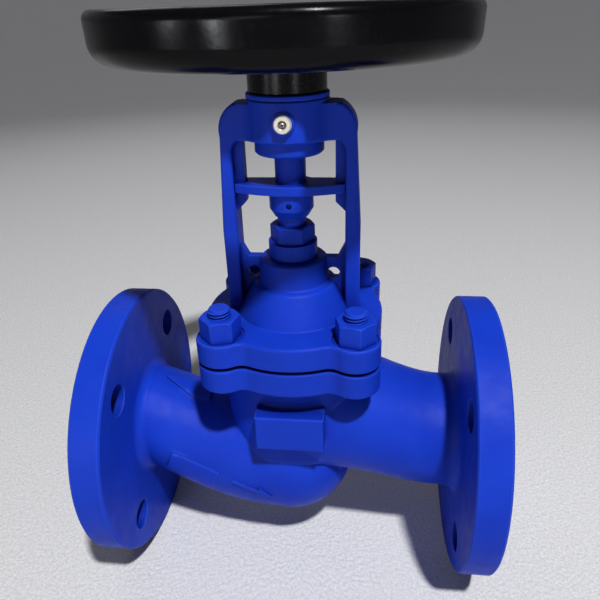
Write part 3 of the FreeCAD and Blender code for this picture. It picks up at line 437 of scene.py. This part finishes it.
print("inlet duct dips", inlet_dip_depth, "m under the flow axis")

# %% [markdown]
# ## The body: inside the outlet duct, the chamber and the ports
#
# The outlet duct leaves the chamber a little above the flow axis and comes down to it along half a cosine
# wave. The chamber over the seat and the two short ports are plain cylinders. Added up and clamped, the
# four masks say where the iron is raw.

# %% Outlet duct, chamber and ports
outlet_start, outlet_run, outlet_rise, outlet_radius, outlet_from = 0.018, 0.070, 0.0075, 0.0305, 0.030
chamber_radius, chamber_floor, port_radius, port_from = 0.034, 0.071, 0.0252, 0.085
outlet_share = sum_of(tree, "DIVIDE", sum_of(tree, "SUBTRACT", x, outlet_start), outlet_run, clamp=True)
outlet_wave = sum_of(tree, "COSINE", sum_of(tree, "MULTIPLY", outlet_share, math.pi))
outlet_lift = sum_of(tree, "MULTIPLY_ADD", outlet_wave, outlet_rise, outlet_rise)
from_outlet = distance_from(tree, y, sum_of(tree, "SUBTRACT", rise, outlet_lift))
in_outlet = both(tree, below(tree, from_outlet, outlet_radius), above(tree, x, outlet_from))
from_stem = distance_from(tree, x, y)
in_chamber = both(tree, below(tree, from_stem, chamber_radius), above(tree, z, chamber_floor))
in_port = both(tree, below(tree, from_flow, port_radius), above(tree, far_x, port_from))
in_ducts = sum_of(tree, "ADD", in_inlet, in_outlet)
in_bores = sum_of(tree, "ADD", in_chamber, in_port)
inside = sum_of(tree, "ADD", in_ducts, in_bores, clamp=True)
print("outlet duct rises", 2 * outlet_rise, "m; chamber radius", chamber_radius)

# %% [markdown]
# ## The body: where its creases are crisp
#
# The ducts flow into the barrel in wide, soft creases, but flange rims, joint flange, front pad, arrow,
# its panel and the flat land on the inlet duct have crisp edges. The radius that the Bevel node rounds by
# may vary from point to point, so masks of these places choose between a soft and a crisp one.

# %% Crisp creases
soft_crease, crisp_crease = 0.0045, 0.0011
flange_from, joint_from, pad_front = 0.094, 0.137, -0.0385
marks_front, marks_top, land_from, land_end = -0.024, 0.078, 0.108, -0.050
near_flange = above(tree, far_x, flange_from)
near_joint = above(tree, z, joint_from)
low_marks = both(tree, below(tree, y, marks_front), below(tree, z, marks_top))
on_land = both(tree, above(tree, z, land_from), below(tree, x, land_end))
crisp = sum_of(tree, "ADD", sum_of(tree, "ADD", near_flange, near_joint), low_marks)
crisp = sum_of(tree, "ADD", crisp, below(tree, y, pad_front))
crisp = sum_of(tree, "ADD", crisp, on_land, clamp=True)
crease = sum_of(tree, "MULTIPLY_ADD", crisp, crisp_crease - soft_crease, soft_crease)
print("creases between", crisp_crease, "and", soft_crease, "m")

# %% [markdown]
# ## The body: its three looks in one shader
#
# Paint, bare face and raw iron are mixed by the masks, each with its own colour, roughness and bump. The
# lathe leaves fine rings on a face, so its noise has one dimension, the distance from the flow axis.

# %% Body finish
colour, normal = paint_colour(tree, place, crease)
skin = rough_skin(tree, place, normal, cast_swell, cast_grit)
ring_noise = add(tree, "TexNoise", {"noise_dimensions": "1D"}, W=from_flow, Scale=2600.0, Detail=1.0)
rings = ring_noise.outputs["Fac"]
turned_skin = add(tree, "Bump", Height=rings, Distance=0.00004, Strength=1.0).outputs["Normal"]
rust = noise(tree, place, 0.006, 4.0, 0.65)
raw_iron = blend(tree, span(tree, rust, 0.4, 0.75), (0.075, 0.072, 0.070), (0.16, 0.10, 0.065))
bare_face = blend(tree, rings, (0.40, 0.40, 0.41), (0.55, 0.55, 0.55))
colour = blend(tree, inside, colour, raw_iron)
colour = blend(tree, on_face, colour, bare_face)
put(tree, shader.inputs["Base Color"], colour)
put(tree, shader.inputs["Metallic"], on_face)
shader.inputs["Specular IOR Level"].default_value = paint_gloss
patches = noise(tree, place, 0.010, 2.0)
coat_roughness = span(tree, patches, 0.2, 0.8, coat_smooth, coat_rough)
coat_roughness = sum_of(tree, "MULTIPLY_ADD", inside, 0.2, coat_roughness)
coat_roughness = sum_of(tree, "MULTIPLY_ADD", on_face, -0.12, coat_roughness)
put(tree, shader.inputs["Roughness"], coat_roughness)
mixed = tree.nodes.new("ShaderNodeMix")
mixed.data_type = "VECTOR"
put(tree, mixed.inputs["Factor"], on_face)
put(tree, mixed.inputs[4], skin)
put(tree, mixed.inputs[5], turned_skin)
put(tree, shader.inputs["Normal"], mixed.outputs[1])
print("body finish has", len(tree.nodes), "nodes")

# %% [markdown]
# ## Black enamel on the wheel
#
# The wheel is pressed sheet with glossy stove enamel. Pressing leaves it slightly wavy, so its highlights
# swim, and enamel adds a fine orange peel. Both are bumps, one on top of the other, and a little dust dulls
# the gloss in patches.

# %% Enamel
enamel_black, enamel_dusty = (0.0025, 0.0025, 0.0032), (0.020, 0.020, 0.023)
enamel, tree, shader = fresh_material("black_enamel")
place = add(tree, "TexCoord").outputs["Object"]
rounding = add(tree, "Bevel", {"samples": 4}, Radius=0.0008).outputs["Normal"]
swells = noise(tree, place, 0.028, 0.0)
waves = add(tree, "Bump", Height=swells, Distance=0.0018, Strength=1.0, Normal=rounding).outputs["Normal"]
dimples = noise(tree, place, 0.0022, 1.0)
peel = add(tree, "Bump", Height=dimples, Distance=0.000022, Strength=1.0, Normal=waves)
dust = noise(tree, place, 0.0035, 5.0, 0.7)
dusty = span(tree, dust, 0.58, 0.80, 0.0, 0.25)
put(tree, shader.inputs["Base Color"], blend(tree, dusty, enamel_black, enamel_dusty))
put(tree, shader.inputs["Roughness"], span(tree, dust, 0.35, 0.75, 0.19, 0.25))
shader.inputs["Specular IOR Level"].default_value = 0.10
put(tree, shader.inputs["Normal"], peel.outputs["Normal"])
print("wheel's finish:", enamel.name)

# %% [markdown]
# ## Black satin on the sleeve
#
# The sleeve is machined bar with a thin satin coat, and tool marks run round it. Noise that is squeezed
# along the stem's axis and drawn out across it gives such rings.

# %% Black satin
satin_black, satin_worn = (0.004, 0.004, 0.005), (0.020, 0.020, 0.022)
black_satin, tree, shader = fresh_material("black_satin")
place = add(tree, "TexCoord").outputs["Object"]
stretched = add(tree, "Mapping", Vector=place)
stretched.inputs["Scale"].default_value = (60.0, 60.0, 2600.0)
tool_marks = add(tree, "TexNoise", Vector=stretched.outputs["Vector"], Scale=1.0, Detail=2.0).outputs["Fac"]
flakes = noise(tree, place, 0.0012, 3.0, 0.7)
marks = add(tree, "Bump", Height=tool_marks, Distance=0.00002, Strength=1.0)
speckle = add(tree, "Bump", Height=flakes, Distance=0.00005, Strength=1.0, Normal=marks.outputs["Normal"])
put(tree, shader.inputs["Base Color"], blend(tree, span(tree, flakes, 0.55, 0.75), satin_black, satin_worn))
put(tree, shader.inputs["Roughness"], span(tree, flakes, 0.3, 0.7, 0.20, 0.30))
shader.inputs["Specular IOR Level"].default_value = 0.14
put(tree, shader.inputs["Normal"], speckle.outputs["Normal"])
print("sleeve's finish:", black_satin.name)

# %% [markdown]
# ## Bare metals
#
# Plated, stainless, brass and greased parts differ in colour and in how finely they were turned. A maker
# takes a pale and a dark shade of the metal, a roughness, the depth of its rings and how stained it is, so
# each metal is one line.


# %% Metals
def metal(name, pale, dark, rough, ring_depth, stain=0.3):
    """Turned metal: fine rings up the stem's axis, and patches of stain."""
    material, tree, shader = fresh_material(name)
    place = add(tree, "TexCoord").outputs["Object"]
    stretched = add(tree, "Mapping", Vector=place)
    stretched.inputs["Scale"].default_value = (90.0, 90.0, 3000.0)
    rings = add(tree, "TexNoise", Vector=stretched.outputs["Vector"], Scale=1.0, Detail=2.0).outputs["Fac"]
    patches = noise(tree, place, 0.004, 4.0, 0.6)
    stained = span(tree, patches, 0.45, 0.8, 0.0, stain)
    put(tree, shader.inputs["Base Color"], blend(tree, stained, pale, dark))
    shader.inputs["Metallic"].default_value = 1.0
    put(tree, shader.inputs["Roughness"], span(tree, patches, 0.2, 0.8, rough - 0.06, rough + 0.08))
    rounding = add(tree, "Bevel", {"samples": 4}, Radius=0.0004).outputs["Normal"]
    bump = add(tree, "Bump", Height=rings, Distance=ring_depth, Strength=1.0, Normal=rounding)
    put(tree, shader.inputs["Normal"], bump.outputs["Normal"])
    return material


zinc = metal("zinc_plate", (0.74, 0.72, 0.66), (0.42, 0.40, 0.34), 0.30, 0.000012)
stainless = metal("stainless", (0.62, 0.62, 0.61), (0.38, 0.37, 0.35), 0.28, 0.000020)
brass = metal("brass", (0.76, 0.56, 0.26), (0.45, 0.30, 0.12), 0.30, 0.000020)
greased = metal("greased_steel", (0.40, 0.39, 0.37), (0.10, 0.09, 0.08), 0.24, 0.000015, 0.8)
print("metals:", [made.name for made in (zinc, stainless, brass, greased)])

# %% [markdown]
# ## Graphite
#
# Gaskets and packing rings are pressed graphite: dark grey, dull, with a fine grain that is both colour
# and bump.

# %% Graphite
graphite, tree, shader = fresh_material("graphite")
place = add(tree, "TexCoord").outputs["Object"]
weave = noise(tree, place, 0.0007, 3.0, 0.7)
put(tree, shader.inputs["Base Color"], blend(tree, weave, (0.035, 0.035, 0.037), (0.11, 0.11, 0.115)))
shader.inputs["Roughness"].default_value = 0.5
grain = add(tree, "Bump", Height=weave, Distance=0.0001, Strength=1.0)
put(tree, shader.inputs["Normal"], grain.outputs["Normal"])
print("gaskets and packing:", graphite.name)

# %% [markdown]
# ## The grease nipple's face
#
# Seen from the front the nipple is a pale rim, a dish round its ball and a small hole in the ball. The dish
# and the hole get painted shade: darker rings round one point, which the distance from the middle of the
# nipple's box draws.

# %% Nipple face
ball_radius = 0.0012
nipple_low, nipple_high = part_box("grease_nipple")
nipple_face, tree, shader = fresh_material("nipple_face")
place = add(tree, "TexCoord").outputs["Object"]
parts = add(tree, "SeparateXYZ", Vector=place).outputs
sideways = sum_of(tree, "SUBTRACT", parts["X"], (nipple_low.x + nipple_high.x) / 2)
upwards = sum_of(tree, "SUBTRACT", parts["Z"], (nipple_low.z + nipple_high.z) / 2)
from_ball = distance_from(tree, sideways, upwards)
stains = noise(tree, place, 0.0012, 3.0, 0.6)
pale = blend(tree, span(tree, stains, 0.4, 0.8), (0.78, 0.74, 0.66), (0.58, 0.53, 0.45))
# Painted shade: a darker ring in the dish round the ball.
rim_with_dish_shade = blend(tree, span(tree, from_ball, 0.0018, 0.0023), (0.22, 0.20, 0.18), pale)
# Painted shade: a dark dot for the hole in the ball.
ball = blend(tree, span(tree, from_ball, 0.0005, 0.0008), (0.03, 0.02, 0.03), (0.50, 0.47, 0.42))
in_ball = below(tree, from_ball, ball_radius)
put(tree, shader.inputs["Base Color"], blend(tree, in_ball, rim_with_dish_shade, ball))
shader.inputs["Metallic"].default_value = 0.6
put(tree, shader.inputs["Roughness"], span(tree, stains, 0.2, 0.8, 0.28, 0.42))
print("nipple's finish:", nipple_face.name)

# %% [markdown]
# ## Every CAD part gets its finish
#
# The sprayer painted the assembled valve, so nuts, stem, coupling and plate are blue as well. Only what
# went on later, or is hidden inside, keeps its own metal.

# %% Hand out the finishes
finishes = {
    body_paint: ["valve_body"],
    cast_paint: ["bonnet_yoke"],
    small_paint: [
        "bonnet_nuts", "gland_nut", "lower_stem", "stem_coupling", "coupling_pin", "guide_plate",
        "bearing_cap",
    ],
    enamel: ["handwheel"],
    black_satin: ["handwheel_sleeve"],
    zinc: ["handwheel_nut", "handwheel_washer"],
    nipple_face: ["grease_nipple"],
    brass: ["stem_nut"],
    graphite: ["body_gasket", "bonnet_gasket", "packing_rings"],
    stainless: [
        "seat_ring", "bellows_top_ring", "packing_base_ring", "gland_follower", "thrust_washer_lower",
        "thrust_washer_upper", "handwheel_key", "bellows_collar", "bellows", "valve_disc", "disc_nut",
    ],
}
for finish, names in finishes.items():
    for name in names:
        for slot in nodes[name].material_slots:
            slot.material = finish
print("finished", sum(len(names) for names in finishes.values()), "CAD parts")

# %% [markdown]
# ## Studs with real threads
#
# Above each nut the stud shows a few turns of thread, which the CAD part leaves plain. A thread is one
# small profile swept along a helix. Blender's spin operator does that when it is also given a rise for
# each step. The sweep starts below and ends above the wanted length, and two cuts trim it flat, which is
# easier than shaping the run-out of the helix. The end is then chamfered by drawing the points in.


# %% Thread maker
def threaded_rod(shape, axis, crest, root, pitch, low, high, chamfer, sides=36, flat=0.2, left_hand=False):
    """Adds a thread about an upright axis to a shape, cut flat at both ends and chamfered at the top."""
    before = set(shape.verts)
    start = low - 1.5 * pitch
    turns = math.ceil((high - start) / pitch) + 1
    profile = [(root, 0.0), (root, flat), (crest, 0.5), (crest, 0.5 + flat), (root, 1.0)]
    points = [(axis[0] + radius, axis[1], start + along * pitch) for radius, along in profile]
    corners = [shape.verts.new(point) for point in points]
    edges = [shape.edges.new(pair) for pair in zip(corners, corners[1:])]
    bmesh.ops.spin(
        shape, geom=corners + edges, cent=(axis[0], axis[1], 0.0), axis=(0, 0, 1),
        dvec=(0, 0, pitch / sides), angle=math.tau * turns * (-1 if left_hand else 1), steps=sides * turns,
    )
    made = [vert for vert in shape.verts if vert not in before]
    bmesh.ops.remove_doubles(shape, verts=made, dist=pitch * 0.001)
    for level, above in ((low, False), (high, True)):
        made = [vert for vert in shape.verts if vert not in before]
        region = set(made) | {e for v in made for e in v.link_edges} | {f for v in made for f in v.link_faces}
        cut = bmesh.ops.bisect_plane(
            shape, geom=list(region), dist=1e-7, plane_co=(0, 0, level), plane_no=(0, 0, 1),
            clear_outer=above, clear_inner=not above,
        )
        loop = [piece for piece in cut["geom_cut"] if isinstance(piece, bmesh.types.BMEdge)]
        bmesh.ops.contextual_create(shape, geom=loop)
    for vert in (vert for vert in shape.verts if vert not in before):
        offset = Vector((vert.co.x - axis[0], vert.co.y - axis[1]))
        limit = crest - max(0.0, vert.co.z - (high - chamfer))
        if offset.length > limit:
            offset *= limit / offset.length
            vert.co.x, vert.co.y = axis[0] + offset.x, axis[1] + offset.y


def round_bar(shape, axis, radius, low, high, sides=48):
    """Adds a plain upright bar to a shape."""
    middle = Matrix.Translation((axis[0], axis[1], (low + high) / 2))
    bmesh.ops.create_cone(
        shape, cap_ends=True, segments=sides, radius1=radius, radius2=radius, depth=high - low, matrix=middle,
    )


def finished(name, shape, materials, body, stands_for, smooth_angle=35.0):
    """Turns a shape into a piece that rides on a body and stands for a CAD part."""
    bmesh.ops.recalc_face_normals(shape, faces=shape.faces)
    mesh = bpy.data.meshes.new(name)
    shape.to_mesh(mesh)
    shape.free()
    for material in materials:
        mesh.materials.append(material)
    mesh.set_sharp_from_angle(angle=math.radians(smooth_angle))
    mesh.polygons.foreach_set("use_smooth", [True] * len(mesh.polygons))
    piece = bpy.data.objects.new(name, mesh)
    bpy.context.scene.collection.objects.link(piece)
    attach(piece, body)
    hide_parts(*stands_for)
    print(name, "has", len(mesh.vertices), "points")
    return piece


print("thread maker ready")

# %% [markdown]
# ## Four studs
#
# The studs stand on the corners of a square, all alike: a plain bar below the nuts and a thread from there
# up. The one at the back on the right was screwed in deeper, so its thread ends lower.

# %% Four studs
stud_circle, stud_crest, stud_root, stud_pitch, stud_chamfer = 0.100, 0.0060, 0.0050, 0.00175, 0.0010
stud_bar_radius = 0.0059
stud_low, stud_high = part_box("bonnet_studs")[0].z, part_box("bonnet_studs")[1].z
sunk_stud, sunk_by = (1, 1), 0.0028
nut_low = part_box("bonnet_nuts")[0].z
reach = stud_circle / 2 / math.sqrt(2)
studs = bmesh.new()
for across_sign in (-1, 1):
    for along_sign in (-1, 1):
        axis = (across_sign * reach, along_sign * reach)
        top = stud_high - (sunk_by if (across_sign, along_sign) == sunk_stud else 0.0)
        round_bar(studs, axis, stud_bar_radius, stud_low, nut_low)
        threaded_rod(studs, axis, stud_crest, stud_root, stud_pitch, nut_low, top, stud_chamfer)
finished("stud_set", studs, [small_paint], "valve_casting", ["bonnet_studs"])

# %% [markdown]
# ## The stem's trapezoidal thread
#
# The upper stem is smooth and painted where it shows between plate and yoke head. Above that it carries a
# left-handed trapezoidal thread of 4 mm pitch, greased, that climbs out of the stem nut as the valve opens.

# %% Upper stem
stem_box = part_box("upper_stem")
stem_axis, thread_foot = (0.0, 0.0), 0.2600
stem_radius, stem_root, stem_pitch, stem_chamfer = 0.0080, 0.0058, 0.0040, 0.0012
stem = bmesh.new()
round_bar(stem, stem_axis, stem_radius, stem_box[0].z, thread_foot)
threaded_rod(
    stem, stem_axis, stem_radius, stem_root, stem_pitch, thread_foot, stem_box[1].z, stem_chamfer,
    sides=40, flat=0.36, left_hand=True,
)
for face in stem.faces:
    face.material_index = 0 if face.calc_center_median().z <= thread_foot + 1e-6 else 1
finished("stem_screw", stem, [small_paint, greased], "stem_group", ["upper_stem"])
